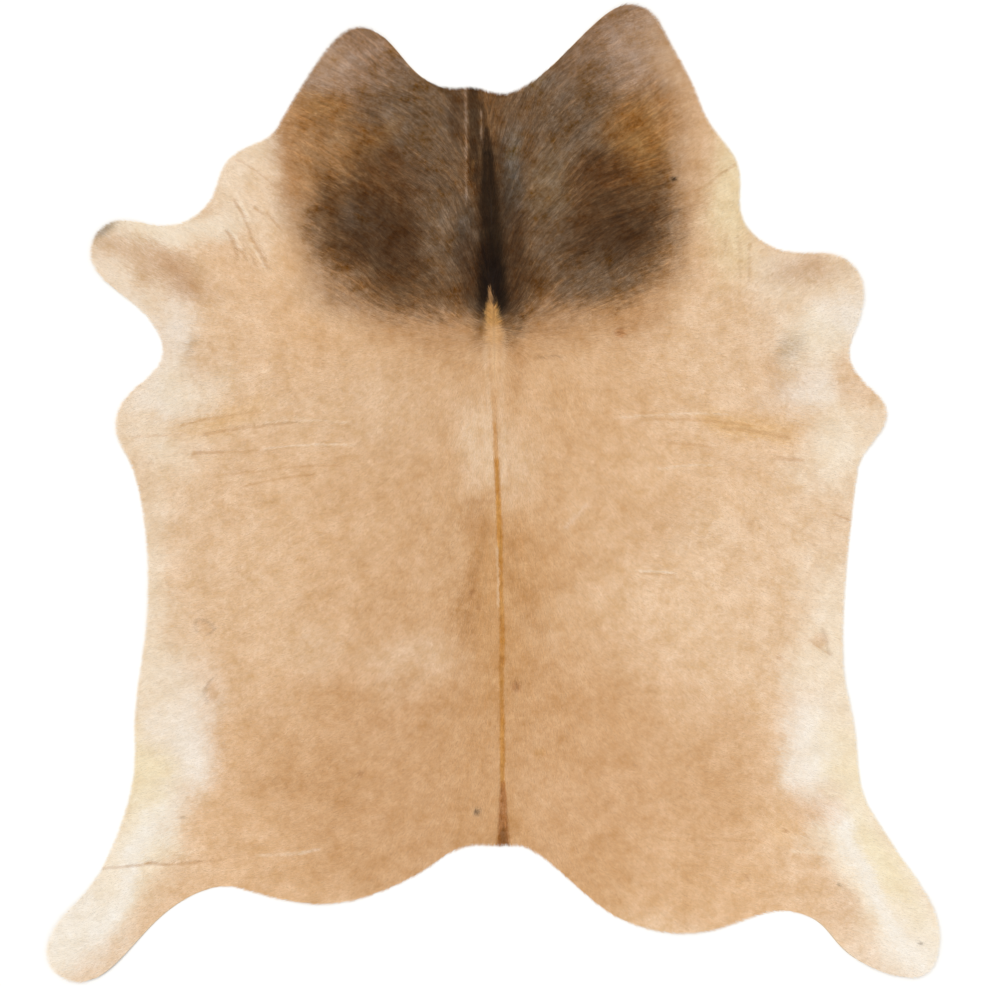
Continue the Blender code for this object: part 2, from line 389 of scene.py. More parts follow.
# %% Pale patches of flanks and hind legs
PALE_BACK = (
    Patch("left barrel, pale edge", "cream", -775, -225, 55, 170, 0, 0.8, 0.55),
    Patch("right barrel, pale edge", "cream", 765, -270, 80, 130, 0, 0.8, 0.5),
    Patch("left flank, cream", "cream", -760, -540, 108, 245, -3, 0.6, 0.6),
    Patch("left flank, white", "white", -676, -545, 56, 122, -8, 0.9, 0.6),
    Patch("left flank, butter", "butter", -775, -690, 60, 150, 8, 0.6, 0.65),
    Patch("left hind leg", "cream", -870, -900, 260, 85, 52, 0.4, 0.9),
    Patch("left hind leg, white", "white", -785, -820, 200, 28, 62, 0.6, 0.6),
    Patch("left hind leg, inner tan", "sand", -700, -940, 190, 30, 52, 0.7, 0.3),
    Patch("left hind leg, tip", "white", -940, -990, 120, 110, 0, 0.6, 0.55),
    Patch("left flank, tan below", "sand", -655, -715, 60, 65, 0, 0.7, 0.6),
    Patch("right flank, cream", "cream", 780, -560, 102, 245, 3, 0.55, 0.76),
    Patch("right flank, white", "white", 702, -555, 44, 98, 8, 0.9, 0.65),
    Patch("right flank, butter", "butter", 800, -640, 60, 120, 15, 0.6, 0.45),
    Patch("right hind leg", "cream", 895, -900, 270, 100, -56, 0.4, 0.9),
    Patch("right hind leg, butter", "butter", 890, -840, 130, 35, -55, 0.6, 0.6),
    Patch("right rump, golden cream", "gold", 673, -775, 34, 26, 0, 0.8, 0.4),
    Patch("right hind leg, white", "white", 830, -860, 265, 26, -60, 0.5, 0.65),
    Patch("right hind leg, inner", "peach", 745, -905, 130, 30, -50, 0.7, 0.2),
    Patch("right hind leg, tip", "white", 930, -1050, 110, 90, 0, 0.6, 0.4),
    Patch("right flank, tan below", "peach", 708, -715, 42, 65, -15, 0.7, 0.7),
)

# %% Darker and lighter places on the back
BACK = (
    Patch("left of line, front", "bark", -32, -52, 32, 42, 0, 0.5, 0.4),
    Patch("left of line, back", "bark", -44, -250, 28, 112, -4, 0.5, 0.5),
    Patch("right of line, front", "bark", 58, -125, 26, 60, 0, 0.7, 0.4),
    Patch("right of line, back", "bark", 88, -250, 30, 74, 8, 0.6, 0.4),
    Patch("rump, pinkish", "peach", 100, -680, 30, 70, 0, 0.8, 0.45),
    Patch("rump, gold left", "honey", -300, -830, 150, 50, 10, 0.8, 0.3),
    Patch("rump, gold right", "orange", 435, -880, 30, 52, 0, 0.9, 0.3),
    Patch("right leg, brown", "bark", 750, -940, 45, 40, 0, 0.8, 0.12),
    Patch("left barrel, darker", "honey", -300, -440, 110, 60, 0, 0.9, 0.2),
    Patch("right barrel, darker", "honey", 235, -390, 60, 80, 0, 0.9, 0.25),
    Patch("right of line, front honey", "honey", 105, -172, 90, 100, 0, 0.8, 0.5),
    Patch("right barrel, golden", "honey", 345, -45, 92, 65, 0, 0.9, 0.32),
    Patch("left rump, darker", "honey", -355, -640, 150, 110, 0, 0.8, 0.35),
    Patch("right rump, darker", "honey", 510, -650, 90, 120, 0, 0.8, 0.35),
    Patch("right of line, rump", "honey", 117, -500, 60, 130, 0, 0.8, 0.3),
    Patch("left of line, rump", "honey", -29, -712, 65, 90, 0, 0.8, 0.4),
    Patch("right rump, low", "honey", 240, -850, 75, 60, 0, 0.8, 0.4),
    Patch("right rump, pale edge", "light sand", 389, -960, 80, 40, 0, 0.8, 0.5),
    Patch("left loin, pale", "light sand", -185, -365, 85, 65, 0, 0.9, 0.45),
    Patch("left barrel, pale spot", "light sand", -392, -350, 72, 55, 0, 0.9, 0.42),
    Patch("right of line, tail", "honey", 55, -740, 42, 78, 0, 0.8, 0.5),
    Patch("right loin, honey", "honey", 300, -510, 84, 62, 0, 0.9, 0.35),
    Patch("left of line, golden", "honey", -97, -550, 60, 95, 0, 0.8, 0.35),
    Patch("left rump, pale", "peach", -280, -560, 70, 34, 0, 0.9, 0.4),
    Patch("right barrel, pale spot", "light sand", 466, -75, 60, 45, 0, 0.9, 0.4),
    Patch("front of line, pale left", "light sand", -34, 105, 36, 90, 0, 0.9, 0.8),
    Patch("front of line, pale right", "light sand", 52, 78, 38, 84, 0, 0.9, 0.5),
)

# %% Outline of the dark saddle on neck and shoulders
SADDLE_OUTLINE = (
    Patch("haze around saddle", "bark", 0, 760, 455, 436, 0, 0.14, 0.7, 2.4),
    Patch("grey haze around saddle", "taupe", -12, 760, 442, 392, 0, 0.15, 0.55, 2.3),
    Patch("saddle", "saddle", -12, 760, 426, 345, 0, 0.16, 1.0, 2.8),
    Patch("haze by brown spot", "bark", 320, 410, 70, 60, 40, 0.8, 0.6),
    Patch("right corner of saddle", "ginger", 372, 512, 58, 50, 0, 0.8, 0.5),
    Patch("left neck, light rim", "light sand", -505, 655, 40, 100, -10, 0.7, 0.8),
    Patch("left of wedge, brown", "ginger", -28, 362, 16, 36, 0, 0.7, 0.6),
    Patch("right of wedge, brown", "ginger", 34, 360, 16, 36, 0, 0.7, 0.6),
    Patch("right of strip, haze", "bark", 48, 300, 20, 66, 0, 0.8, 0.45),
    Patch("left foot of saddle, haze", "taupe", -352, 432, 78, 38, -30, 0.9, 0.38),
    Patch("left edge of saddle, paler", "peach", -438, 595, 24, 56, 0, 0.8, 0.35),
)

# %% Lobes, neck sides and browns of the saddle
SADDLE_BROWNS = (
    Patch("left lobe", "taupe", -320, 985, 180, 120, -20, 0.4, 0.95),
    Patch("left lobe, pale edge", "fawn", -385, 960, 60, 60, 0, 0.7, 0.6),
    Patch("right lobe", "taupe", 315, 985, 170, 150, 15, 0.4, 0.95),
    Patch("right lobe, middle", "fawn", 320, 985, 62, 85, 0, 0.7, 0.6),
    Patch("right lobe, pale edge", "peach", 425, 935, 60, 200, 10, 0.7, 0.6),
    Patch("left neck, tan side", "bark", -440, 765, 47, 122, 0, 0.6, 0.8),
    Patch("right neck, tan side", "peach", 436, 800, 44, 156, 0, 0.7, 0.55),
    Patch("left grey-brown", "drab", -170, 855, 108, 110, 0, 0.6, 0.9),
    Patch("right grey-brown", "drab", 170, 830, 130, 110, 0, 0.6, 0.85),
    Patch("left of mane, grey-brown", "drab", -135, 705, 60, 130, 0, 0.6, 0.75),
    Patch("right of mane, pale brown", "mouse", 130, 675, 56, 85, -8, 0.6, 0.9),
    Patch("left ochre", "ochre", -372, 868, 60, 36, 0, 0.6, 0.85),
    Patch("left orange", "ginger", -370, 785, 80, 72, 0, 0.6, 0.8),
    Patch("left golden streak", "ochre", -268, 786, 70, 20, 35, 0.8, 0.5),
    Patch("right ochre", "ochre", 330, 815, 78, 88, 0, 0.7, 0.95),
    Patch("right of ochre, paler", "bark", 384, 838, 30, 46, 0, 0.8, 0.5),
    Patch("left chestnut", "chestnut", -215, 720, 80, 50, -30, 0.8, 0.7),
    Patch("right chestnut", "chestnut", 235, 705, 68, 60, 20, 0.6, 0.8),
)

# %% Darkest places of the saddle
SADDLE_DARKS = (
    Patch("left oval", "umber", -248, 580, 108, 88, -20, 0.6, 0.9),
    Patch("left oval, tail", "umber", -200, 500, 60, 70, 30, 0.7, 0.75),
    Patch("left oval, slate middle", "slate", -300, 610, 46, 30, -30, 0.9, 0.35),
    Patch("right oval", "umber", 270, 575, 122, 86, 8, 0.6, 0.92),
    Patch("under left oval, olive", "saddle", -150, 445, 160, 45, 0, 0.7, 0.6),
    Patch("under right oval, olive", "drab", 228, 478, 92, 58, 0, 0.7, 0.75),
    Patch("left of black, brown", "drab", -108, 570, 46, 115, 0, 0.7, 0.8),
    Patch("right of black, brown", "drab", 118, 560, 45, 80, 0, 0.7, 0.7),
    Patch("right lobe, inner", "drab", 215, 965, 50, 55, 40, 0.7, 0.3),
    Patch("slate right of line", "slate", 41, 680, 28, 120, 0, 0.5, 0.9),
    Patch("slate left of line", "slate", -56, 560, 20, 90, 0, 0.6, 0.8),
    Patch("grey right of line, top", "grey", 94, 921, 32, 26, 0, 0.8, 0.22),
    Patch("grey right of line", "grey", 40, 775, 16, 42, 0, 0.8, 0.14),
    Patch("dark around core", "olive", 0, 590, 34, 175, 0, 0.7, 0.8),
    Patch("foot of core", "black", 8, 460, 60, 84, 0, 0.8, 0.8),
    Patch("dark band left of line", "umber", -80, 860, 24, 70, 0, 0.5, 0.7),
    Patch("right branch", "umber", 52, 510, 26, 130, 0, 0.5, 0.85),
    Patch("left branch", "umber", -54, 500, 24, 80, 0, 0.6, 0.8),
)
SADDLE = SADDLE_OUTLINE + SADDLE_BROWNS + SADDLE_DARKS

# %% Small marks
MARKS = (
    Patch("mole", "black", 402, 703, 4.2, 4.6, 0, 0.4, 1.0),
    Patch("brown spot", "rust", 280, 360, 10, 9, 0, 0.5, 0.95),
    Patch("brown spot, haze", "bark", 290, 370, 22, 14, 20, 0.8, 0.4),
    Patch("dark spot left of line", "rust", -45, -217, 7, 6, 0, 0.6, 0.6),
    Patch("second spot left of line", "rust", -31, -251, 5, 5, 0, 0.6, 0.5),
    Patch("spot on rump, left of line", "umber", -34, -710, 8, 8, 0, 0.5, 0.7),
    Patch("round spot right of line", "rust", 52, -427, 10, 11, 0, 0.4, 0.65),
    Patch("orange spot", "orange", 105, -577, 14, 9, 10, 0.6, 0.6),
    Patch("left rump nick", "rust", -293, -627, 6, 7, 0, 0.6, 0.5),
    Patch("right scar", "tan", 730, -328, 18, 15, 30, 0.6, 0.5),
    Patch("left scar, inside", "tan", -640, -298, 19, 13, -30, 0.6, 0.6),
    Patch("left hind scar, inside", "tan", -624, -442, 12, 24, 0, 0.6, 0.6),
    Patch("right mark by scar", "bark", 637, -368, 7, 5, 0, 0.7, 0.5),
    Patch("right rump nick", "rust", 651, -757, 4, 5, 0, 0.6, 0.5),
    Patch("right rump streak", "rust", 567, -865, 3, 9, 25, 0.7, 0.4),
    Patch("left leg dot", "umber", -689, -729, 3, 3, 0, 0.5, 0.6),
    Patch("right leg dot", "umber", 773, -879, 3.5, 3.5, 0, 0.5, 0.6),
    Patch("right leg tip dot", "umber", 954, -1011, 4, 4, 0, 0.5, 0.6),
    Patch("left foreleg, grey tip", "slate", -868, 590, 32, 10, 38, 0.8, 0.45),
)
print("patches:", len(GROUND + PALE_FRONT + PALE_BACK + BACK + SADDLE + MARKS))

# %% [markdown]
# ## Lines, folds and scars
#
# Long thin marks are lines with a half width at each end, and a bow to the left of their run. The line on
# the back is the dark stripe that most cattle have. Creases are drawn as a pale line of painted highlight on
# the ridge beside a darker line of painted shade in the groove, so some lines also have a lift in mm, which
# raises or sinks the skin under them.

# %% Lines along the backbone
Line = namedtuple("Line", "name pigment x0 y0 x1 y1 bow w0 w1 amount lift", defaults=(0.0,))
BACKBONE_LINES = (
    Line("dark band in neck", "olive", -43, 930, -40, 700, 0, 12, 10, 0.9),
    Line("dark beside core", "olive", -26, 868, -28, 640, 0, 8, 12, 0.6),
    Line("black core, start", "black", -14, 815, -12, 766, 0, 4, 11, 0.7),
    Line("black core", "black", -11, 748, -2, 425, 0, 14, 33, 0.75),
    Line("pale line in neck", "fawn", -58, 905, -57, 640, 0, 2.2, 1.8, 0.35, 0.5),
    Line("grey line in neck", "fawn", -25, 850, -25, 786, 0, 2.2, 1.8, 0.32),
    Line("golden flecks in neck", "ochre", -42, 742, -45, 705, 0, 3, 3, 0.3),
    Line("tip of wedge", "ginger", -5, 455, -3, 405, 0, 2, 7, 0.75),
    Line("orange wedge", "orange", -3, 415, 2, 350, 0, 7, 16, 0.8),
    Line("golden strip", "tan", 3, 360, 3, 200, 0, 15, 8, 0.5),
    Line("golden strip, left rim", "light sand", -12, 350, -9, 180, 0, 5, 5, 0.25),
    Line("golden strip, right rim", "light sand", 20, 350, 19, 180, 0, 5, 5, 0.2),
    Line("pale beside line, left", "light sand", -14, 180, -8, 30, 0, 12, 9, 0.45),
    Line("pale beside line, right", "light sand", 24, 160, 25, 30, 0, 6, 6, 0.4),
    Line("line on back, start", "honey", 3, 220, 4, 150, 0, 6, 5, 0.5),
    Line("line on back, first", "amber", 4, 165, 8, 75, 0, 5, 6, 0.6, -0.2),
    Line("line on back, second", "amber", 8, 80, 12, -15, 0, 6, 6.5, 0.95, -0.4),
    Line("line on back, third", "amber", 12, -10, 17, -150, 0, 6.5, 5.5, 0.95, -0.4),
    Line("line on back, fourth", "amber", 17, -145, 21, -330, 0, 5, 5.5, 0.82, -0.4),
    Line("line on back, fifth", "amber", 21, -325, 19, -420, 0, 5.5, 5.5, 0.75, -0.4),
    Line("line on back, sixth", "amber", 19, -415, 21, -510, 0, 5.5, 5.5, 0.8, -0.4),
    Line("line on back, last", "amber", 21, -505, 22, -660, 0, 6, 5, 0.9, -0.4),
    Line("pale rim of line", "light sand", 9, -115, 12, -245, 0, 3, 3, 0.4),
    Line("rump stripe", "rust", 22, -645, 23, -790, 0, 5, 13, 0.85),
    Line("rump stripe, foot", "saddle", 24, -750, 28, -812, 0, 4, 11, 0.45),
)

# %% Creases of belly and flanks
# The darker crease lines are painted shade in the grooves, and the cream ridge lines are painted highlight.
BELLY_LINES = (
    Line("left belly, golden crease", "bark", -641, 134, -434, 163, 4, 4, 2, 0.4, -0.5),
    Line("left belly, upper crease", "honey", -695, 155, -520, 188, 3, 3, 2, 0.35, -0.3),
    Line("left belly, thin ridge", "cream", -508, 163, -322, 161, 4, 1.8, 1.6, 0.3, 0.5),
    Line("left belly, long ridge", "cream", -517, 100, -306, 112, 4, 2, 1.6, 0.32, 0.6),
    Line("left belly, brown crease", "bark", -664, 91, -601, 93, 0, 5, 3, 0.45),
    Line("left belly, crease behind it", "honey", -606, 93, -430, 106, 0, 2.5, 2, 0.3, -0.3),
    Line("left belly, faint creases", "honey", -596, 44, -340, 66, 3, 2.5, 2, 0.35, -0.3),
    Line("left belly, hind crease", "honey", -551, 19, -394, 44, 3, 2.5, 2, 0.4, -0.3),
    Line("left elbow, faint crease", "honey", -800, 128, -695, 134, 0, 2.5, 2, 0.25),
    Line("right belly, golden crease", "honey", 331, 168, 567, 156, 4, 2, 4, 0.4, -0.4),
    Line("right belly, golden end", "bark", 511, 148, 655, 126, 4, 4, 5, 0.35, -0.4),
    Line("right belly, thin ridge", "cream", 270, 172, 520, 180, 4, 1.8, 1.8, 0.3, 0.5),
    Line("right belly, brown crease", "bark", 632, 80, 688, 75, 0, 5, 3.5, 0.35),
    Line("right belly, crease", "honey", 369, 116, 484, 105, 3, 2.5, 3, 0.4, -0.3),
    Line("right belly, hind ridge", "cream", 365, 57, 486, 66, 3, 1.8, 1.6, 0.3, 0.4),
    Line("right flank, thin ridge", "cream", 324, -172, 398, -177, 0, 2, 2, 0.45, 0.5),
    Line("right flank, shadow of ridge", "honey", 324, -177, 398, -182, 0, 2, 2, 0.35, -0.3),
    Line("right flank, crease at edge", "bark", 763, -46, 803, -64, 0, 2, 2.5, 0.5, -0.4),
)

# %% Folds of the rump and scratches on the back
# The darker groove lines of the rump folds are painted shade, and the cream ridge lines are painted
# highlight.
RUMP_LINES = (
    Line("left rump fold, groove", "bark", -873, -841, -760, -829, -3, 2.5, 3.5, 0.35, -0.5),
    Line("left rump fold, middle", "bark", -770, -830, -655, -828, -2, 3.5, 2.5, 0.4, -0.4),
    Line("left rump fold, end", "bark", -660, -828, -600, -823, 0, 2.5, 2, 0.25, -0.3),
    Line("left rump ridge", "cream", -524, -813, -425, -808, 0, 3, 4, 0.18, 0.4),
    Line("left rump ridge, bend", "cream", -425, -808, -385, -799, 0, 4, 3, 0.28, 0.5),
    Line("right rump fold, groove", "honey", 380, -775, 600, -782, 3, 4, 4, 0.35, -0.3),
    Line("right rump fold, ridge", "cream", 664, -801, 754, -808, 0, 3, 4, 0.35, 0.6),
    Line("right back, pale scratch", "cream", 160, -71, 205, -22, 0, 5, 4, 0.2, -0.2),
    Line("right back, brown scratch", "bark", 222, -7, 258, 19, 2, 2.5, 2.5, 0.35),
    Line("withers, first hair line", "saddle", 94, 309, 150, 312, 0, 1.6, 1.6, 0.3),
    Line("withers, second hair line", "saddle", 96, 196, 150, 193, 0, 1.6, 1.6, 0.2),
)

# %% Wrinkles of the neck
# The darker wrinkle lines are painted shade in the grooves, and the cream ridge lines are painted highlight.
NECK_LINES = (
    Line("left neck, first wrinkle", "bark", -576, 655, -553, 618, 0, 3, 3, 0.5, -0.9),
    Line("left neck, first, ridge", "cream", -562, 648, -548, 622, 0, 3, 2.5, 0.5, 0.6),
    Line("left neck, first, lower part", "bark", -552, 610, -539, 580, 0, 3, 3, 0.45, -0.8),
    Line("left neck, second wrinkle", "bark", -592, 587, -574, 548, 2, 3, 3, 0.5, -0.9),
    Line("left neck, second, ridge", "cream", -580, 584, -565, 550, 2, 2.5, 2.5, 0.35, 0.5),
    Line("left neck, second, lower part", "bark", -574, 548, -570, 522, 0, 3, 3, 0.45, -0.8),
    Line("left neck, short wrinkle", "bark", -562, 542, -550, 524, 0, 3, 2.5, 0.45, -0.8),
    Line("left neck, third wrinkle", "bark", -539, 572, -501, 502, 2, 3, 3.5, 0.45, -0.7),
    Line("left neck, third, ridge", "cream", -539, 556, -508, 505, 2, 3, 3, 0.3, 0.5),
    Line("left neck, fourth wrinkle", "bark", -502, 627, -472, 590, 0, 3, 3, 0.4, -0.8),
    Line("left neck, fifth wrinkle", "bark", -532, 641, -510, 624, 0, 3, 2.5, 0.35, -0.6),
    Line("left neck, sixth wrinkle", "bark", -535, 528, -526, 505, 0, 2.5, 2.5, 0.35, -0.6),
    Line("left neck, curved line", "bark", -569, 746, -479, 681, 4, 2, 2.5, 0.3, -0.3),
    Line("right neck, curved line", "bark", 432, 672, 500, 711, -6, 2, 2.5, 0.3),
    Line("right neck, nick", "bark", 500, 711, 540, 737, 0, 2.5, 2.5, 0.4),
    Line("right neck, first wrinkle", "bark", 545, 575, 550, 480, 2, 2.5, 2.5, 0.3, -0.5),
    Line("right neck, second wrinkle", "bark", 571, 556, 570, 470, 0, 2.5, 2.5, 0.3, -0.5),
    Line("right neck, middle wrinkle", "bark", 516, 590, 519, 536, 0, 2.5, 2, 0.25, -0.4),
    Line("right neck, inner wrinkle", "bark", 471, 655, 470, 592, 2, 2.5, 2, 0.2, -0.3),
)

# %% Healed scars and one sharp border
SCAR_LINES = (
    Line("left scar, outer arc", "taupe", -658, -280, -658, -309, -5, 2.5, 2.5, 0.4),
    Line("left scar, upper side", "taupe", -650, -281, -619, -303, 2, 2.5, 2.5, 0.4),
    Line("left scar, lower side", "taupe", -619, -303, -638, -316, 3, 2.5, 2, 0.35),
    Line("left hind scar", "taupe", -625, -414, -636, -466, -11, 3, 2.5, 0.35),
    Line("right scar, outer side", "taupe", 735, -304, 752, -360, 0, 2.5, 3, 0.25),
    Line("right scar, lower side", "bark", 752, -360, 704, -326, 0, 2.5, 2.5, 0.22),
    Line("edge of dark patch", "bark", -62, -12, 0, -13, 0, 3, 4, 0.5),
)
LINES = BACKBONE_LINES + BELLY_LINES + RUMP_LINES + NECK_LINES + SCAR_LINES
print("lines:", len(LINES))

# %% Colour of the coat at any place
def patch_mask(patch, x, y):
    """Soft oval: 1 inside, 0 outside, from the turned offset to its middle, counted in its radii."""
    turn, power = math.radians(patch.turn), patch.square
    along = np.abs(x * math.cos(turn) + y * math.sin(turn)) / patch.rx
    across = np.abs(y * math.cos(turn) - x * math.sin(turn)) / patch.ry
    reach = (along ** power + across ** power) ** (1 / power)
    return patch.amount * smooth(1 + patch.soft, 1 - patch.soft, reach)


def lay(colour, patches, x, y):
    """Lays patches over the colours at some places, each one mixed in by its mask, near its middle only."""
    for patch in patches:
        dx, dy = x - patch.x, y - patch.y
        far = (1 + patch.soft) * math.hypot(patch.rx, patch.ry)
        near = np.flatnonzero((np.abs(dx) < far) & (np.abs(dy) < far))
        mask = patch_mask(patch, dx[near], dy[near])[:, None]
        colour[near] += (PIGMENTS[patch.pigment] - colour[near]) * mask


def stroke_mask(line, x, y, wider=1.0):
    """Soft line: 1 along its middle, 0 past its half width, which runs from w0 to w1; round at both ends."""
    run_x, run_y = line.x1 - line.x0, line.y1 - line.y0
    length = math.hypot(run_x, run_y)
    dx, dy = x - line.x0, y - line.y0
    along = (dx * run_x + dy * run_y) / length ** 2
    inside = np.clip(along, 0.0, 1.0)
    across = (dy * run_x - dx * run_y) / length - 4 * line.bow * inside * (1 - inside)
    half = (line.w0 + (line.w1 - line.w0) * inside) * wider
    reach = np.hypot(across, (along - inside) * length) / half
    return smooth(1.45, 0.55, reach)


def draw(colour, lines, x, y):
    """Draws lines over the colours at some places, near each line only."""
    for line in lines:
        length = math.hypot(line.x1 - line.x0, line.y1 - line.y0)
        far = length / 2 + 3 * max(line.w0, line.w1) + abs(line.bow)
        away = np.hypot(x - (line.x0 + line.x1) / 2, y - (line.y0 + line.y1) / 2)
        near = np.flatnonzero(away < far)
        mask = line.amount * stroke_mask(line, x[near], y[near])[:, None]
        colour[near] += (PIGMENTS[line.pigment] - colour[near]) * mask


# Light that passes from hair to hair comes out a little redder, and the gloss of the hair adds some white to
# every pigment, which only the dark ones show. The pigments are set back by that much, and no channel
# falls below the darkest that real hair has.
HAIR_TO_HAIR = np.array([0.97, 1.02, 1.035])
GLOSS_LIGHT = 0.002
DARKEST = 0.0015

# How far in mm the clouds move the borders of large patches and of the saddle, and the clouds' sizes in mm.
WIDE_SWAY, WIDE_CLOUD = 26, 130
SADDLE_SWAY, SADDLE_CLOUD = 7, 60

# How far in mm a hair's colour typically comes from its root, on the saddle first across, then along it.
WIDE_STRAY, SADDLE_STRAY, LINE_STRAY = 9, (5, 8), 0.7


def coat_colour(x, y, stray):
    """Colour of the coat at places in mm: ground, pale parts, back and saddle, then marks and lines.

    The places are first moved by clouds, so that no border is an even oval. Stray is 1 for hairs, which also
    take a colour from a random place up to some 20 mm away, and 0 for the skin.
    """
    random = np.random.default_rng(5)
    off_x, off_y = stray * random.normal(0, 1, (2, len(x)))
    wide_x = x + WIDE_SWAY * clouds(x, y, WIDE_CLOUD, 21) + WIDE_STRAY * off_x
    wide_y = y + WIDE_SWAY * clouds(x, y, WIDE_CLOUD, 31) + WIDE_STRAY * off_y
    side = np.abs(wide_x)[:, None]
    colour = PIGMENTS["tan"] + (PIGMENTS["sand"] - PIGMENTS["tan"]) * smooth(60, 480, side)
    colour += (PIGMENTS["light sand"] - colour) * smooth(560, 820, side)
    lay(colour, GROUND + PALE_FRONT + PALE_BACK + BACK, wide_x, wide_y)
    saddle_x = x + SADDLE_SWAY * clouds(x, y, SADDLE_CLOUD, 41) + SADDLE_STRAY[0] * off_x
    saddle_y = y + SADDLE_SWAY * clouds(x, y, SADDLE_CLOUD, 51) + SADDLE_STRAY[1] * off_y
    lay(colour, SADDLE, saddle_x, saddle_y)
    lay(colour, MARKS, x + off_x, y + off_y)
    draw(colour, LINES, x + LINE_STRAY * off_x, y + LINE_STRAY * off_y)
    return np.maximum(colour * HAIR_TO_HAIR - GLOSS_LIGHT, DARKEST)


sample = coat_colour(np.array([0.0, 300.0]), np.array([600.0, -200.0]), 0.0)
print("colour on the withers and on the right barrel:", sample.round(3).tolist())


# %% [markdown]
# ## The skin
#
# The skin is a sheet about 2 mm thick. It could be a plane with a Solidify modifier, but its top needs a
# finer net than its underside, so each side gets its own net of points filled with triangles between the
# same rim. The rim is carried along the edge as a small profile that is a little rounded, as a cut with a
# knife is.

# %% Nets of points for both sides
SKIN_THICKNESS = 2.2
Ring = namedtuple("Ring", "inset share_of_thickness")
RIM_PROFILE = (Ring(3.2, 1.0), Ring(2.5, 0.72), Ring(2.4, 0.3), Ring(2.9, 0.0))
# Steps of the nets on top and below, the room that each leaves to the rim, and the nets' reach, all in mm.
UPPER_STEP, UPPER_ROOM = 8.6, 7.0
LOWER_STEP, LOWER_ROOM = 26.0, 16.0
HALF_WIDTH, HALF_LENGTH = 1030.0, 1120.0


def staggered_points(step, room):
    """Points of a net of even triangles, in mm, kept where they are at least `room` inside the edge."""
    rows = np.arange(-HALF_LENGTH, HALF_LENGTH, step * math.sqrt(0.75))
    columns = np.arange(-HALF_WIDTH, HALF_WIDTH, step)
    y = np.repeat(rows, len(columns))
    x = np.tile(columns, len(rows)) + np.repeat(np.arange(len(rows)) % 2, len(columns)) * step / 2
    keep = edge_room(x, y) > room
    return np.stack([x[keep], y[keep]], 1)


def rim_loop(inset, share):
    """One ring of the rim: the edge moved inwards, at a share of the skin's thickness."""
    ring = edge_loop + edge_inward * inset
    x, y = ring.real, ring.imag
    return np.stack([x, y, fold_height(x, y) + share * SKIN_THICKNESS], 1)


def filled(rim, inner):
    """Triangles between a closed rim and inner points: Delaunay's, cut off at the rim."""
    flat = np.concatenate([rim[:, :2], inner])
    order = np.arange(len(rim))
    edges = np.stack([order, np.roll(order, -1)], 1).tolist()
    inside_only, same_place = 1, 1e-5
    result = delaunay_2d_cdt(flat.tolist(), edges, [order.tolist()], inside_only, same_place)
    points, faces = result[0], result[2]
    if len(points) != len(flat):
        raise ValueError("the fill merged or added points")
    return np.array(faces)


rim_rings = [rim_loop(inset, share) for inset, share in RIM_PROFILE]
upper_net, lower_net = staggered_points(UPPER_STEP, UPPER_ROOM), staggered_points(LOWER_STEP, LOWER_ROOM)
upper_faces, lower_faces = filled(rim_rings[0], upper_net), filled(rim_rings[-1], lower_net)
print("triangles on top:", len(upper_faces), "and below:", len(lower_faces))

# %% One closed mesh from both sides and the rim
FOLD_TO_LINE = 2.2  # a wrinkle is this many times as wide as its line of colour


def skin_height(x, y):
    """Height of the top of the skin in mm: folds, the skin's thickness and the fine wrinkles."""
    wrinkle = sum(line.lift * stroke_mask(line, x, y, FOLD_TO_LINE) for line in LINES if line.lift)
    waves = 0.35 * noise(x, y, 90, 201) + 0.12 * noise(x, y, 24, 202)
    return fold_height(x, y) + SKIN_THICKNESS + wrinkle + waves * smooth(4, 40, edge_room(x, y))


def raised(flat, height):
    """Flat places given a height each."""
    return np.column_stack([flat, height])


ring_size = len(edge_loop)
upper_inner = raised(upper_net, skin_height(*upper_net.T))
lower_inner = raised(lower_net, fold_height(*lower_net.T))
skin_points = np.concatenate(rim_rings + [upper_inner, lower_inner])
upper_start = ring_size * len(rim_rings)
lower_start = upper_start + len(upper_inner)
top = np.where(upper_faces < ring_size, upper_faces, upper_faces - ring_size + upper_start)
low_rim = lower_faces + ring_size * (len(rim_rings) - 1)
below = np.where(lower_faces < ring_size, low_rim, lower_faces - ring_size + lower_start)[:, ::-1]
step_on = (np.arange(ring_size) + 1) % ring_size
wall = []
for k in range(len(rim_rings) - 1):
    here, there = np.arange(ring_size) + k * ring_size, step_on + k * ring_size
    wall.append(np.stack([here, here + ring_size, there], 1))
    wall.append(np.stack([there, here + ring_size, there + ring_size], 1))
wall = np.concatenate(wall)
skin_faces = np.concatenate([top, below, wall])
face_side = np.repeat([0, 1, 2], [len(top), len(below), len(wall)])


def triangle_mesh(name, points, faces):
    """Mesh from points in mm and whole arrays of triangles, written with foreach_set."""
    mesh = bpy.data.meshes.new(name)
    mesh.vertices.add(len(points))
    mesh.vertices.foreach_set("co", (points * MM).astype(np.float32).ravel())
    mesh.loops.add(faces.size)
    mesh.loops.foreach_set("vertex_index", faces.astype(np.int32).ravel())
    mesh.polygons.add(len(faces))
    mesh.polygons.foreach_set("loop_start", np.arange(0, faces.size, 3, dtype=np.int32))
    mesh.update(calc_edges=True)
    mesh.validate()
    return mesh


skin_mesh = triangle_mesh("skin", skin_points, skin_faces)
skin_mesh.polygons.foreach_set("material_index", face_side.astype(np.int32))
skin_mesh.polygons.foreach_set("use_smooth", np.ones(len(skin_faces), bool))
skin = bpy.data.objects.new("skin", skin_mesh)
bpy.context.scene.collection.objects.link(skin)
print("skin:", len(skin_faces), "triangles")

# %% [markdown]
# ## Colour and map on the skin
#
# The colour goes on the mesh as an attribute, one colour a point. A map seen from above is added too, with
# the top, the underside and the rim in three separate fields, for any later painting or baking.

